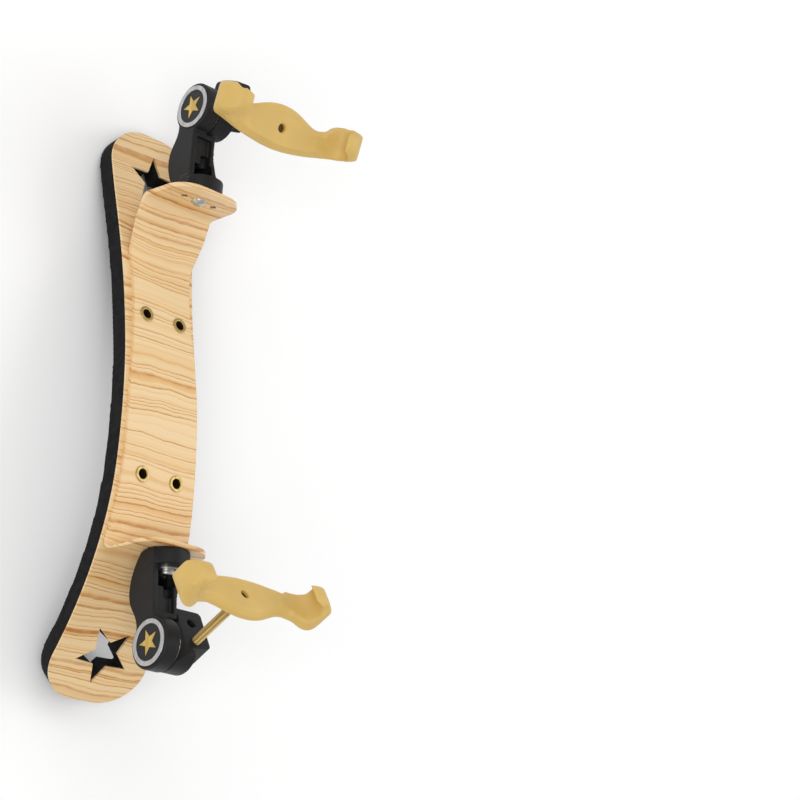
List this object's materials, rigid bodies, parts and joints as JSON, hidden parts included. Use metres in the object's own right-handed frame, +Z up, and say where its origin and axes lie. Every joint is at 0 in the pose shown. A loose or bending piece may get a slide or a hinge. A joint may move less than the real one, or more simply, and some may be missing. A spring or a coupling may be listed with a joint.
{
  "type": "violin shoulder rest",
  "caption": "Violin shoulder rest: hooked padded plate with a bracket, tilting knuckles, threaded rods and claw forks.",
  "frame": {"origin": "centre of the footprint at the level of the two foam ends", "axes": "+Z up towards the violin, +X along the plate towards the far (less hooked) end, +Y towards the badges"},
  "size_m": [0.274, 0.0782, 0.1115],
  "materials": {
    "printed_plate": "satin",
    "foam": "matte",
    "printed_strip": "satin",
    "brass_rivet": "satin",
    "steel": "satin",
    "silver_ring": "satin",
    "black_gloss": "gloss",
    "gold_mark": "satin",
    "black_moulded": "matte",
    "brass_rod": "satin",
    "gold_fork": "satin"
  },
  "bodies": {
    "base": {"base_plate": "printed_plate", "foam_pad": "foam", "bracket": "printed_strip", "eyelets": "brass_rivet", "flange_screws": "steel", "flange_washers": "steel", "flange_nuts": "steel", "pivot_screws": "steel", "friction_washers": "steel", "badge_rings": "silver_ring", "badge_discs": "black_gloss", "badge_emblems": "gold_mark", "near_arm": "black_moulded", "far_arm": "black_moulded"},
    "near_knuckle": {"near_knuckle": "black_moulded", "near_pivot_nut": "brass_rod"},
    "near_rod": {"near_rod": "brass_rod"},
    "near_fork": {"near_fork": "gold_fork"},
    "far_knuckle": {"far_knuckle": "black_moulded", "far_pivot_nut": "brass_rod"},
    "far_rod": {"far_rod": "brass_rod"},
    "far_fork": {"far_fork": "gold_fork"}
  },
  "joints": [
    {"name": "near_knuckle_tilt", "type": "hinge", "parent": "base", "child": "near_knuckle", "pos_m": [-0.11737, 0.00982, 0.06393], "axis": [0, 1, 0], "range_deg": [-20, 30]},
    {"name": "near_rod_travel", "type": "slide", "parent": "near_knuckle", "child": "near_rod", "axis": [0.5373, 0, 0.8434], "range_m": [-0.0056, 0.0056]},
    {"name": "near_fork_turn", "type": "hinge", "parent": "near_rod", "child": "near_fork", "pos_m": [-0.09615, 0.00002, 0.09724], "axis": [0.5373, 0, 0.8434], "range_deg": [-2880, 2880]},
    {"name": "far_knuckle_tilt", "type": "hinge", "parent": "base", "child": "far_knuckle", "pos_m": [0.11859, 0.00982, 0.04778], "axis": [0, -1, 0], "range_deg": [-20, 30]},
    {"name": "far_rod_travel", "type": "slide", "parent": "far_knuckle", "child": "far_rod", "axis": [-0.309, 0, 0.9511], "range_m": [-0.0056, 0.0056]},
    {"name": "far_fork_turn", "type": "hinge", "parent": "far_rod", "child": "far_fork", "pos_m": [0.1058, 0.00002, 0.08715], "axis": [-0.309, 0, 0.9511], "range_deg": [-2880, 2880]}
  ],
  "couplings": [
    {"joint": "near_rod_travel", "follows": "near_fork_turn", "m_per_rad": 0.00011141},
    {"joint": "far_rod_travel", "follows": "far_fork_turn", "m_per_rad": 0.00011141}
  ]
}
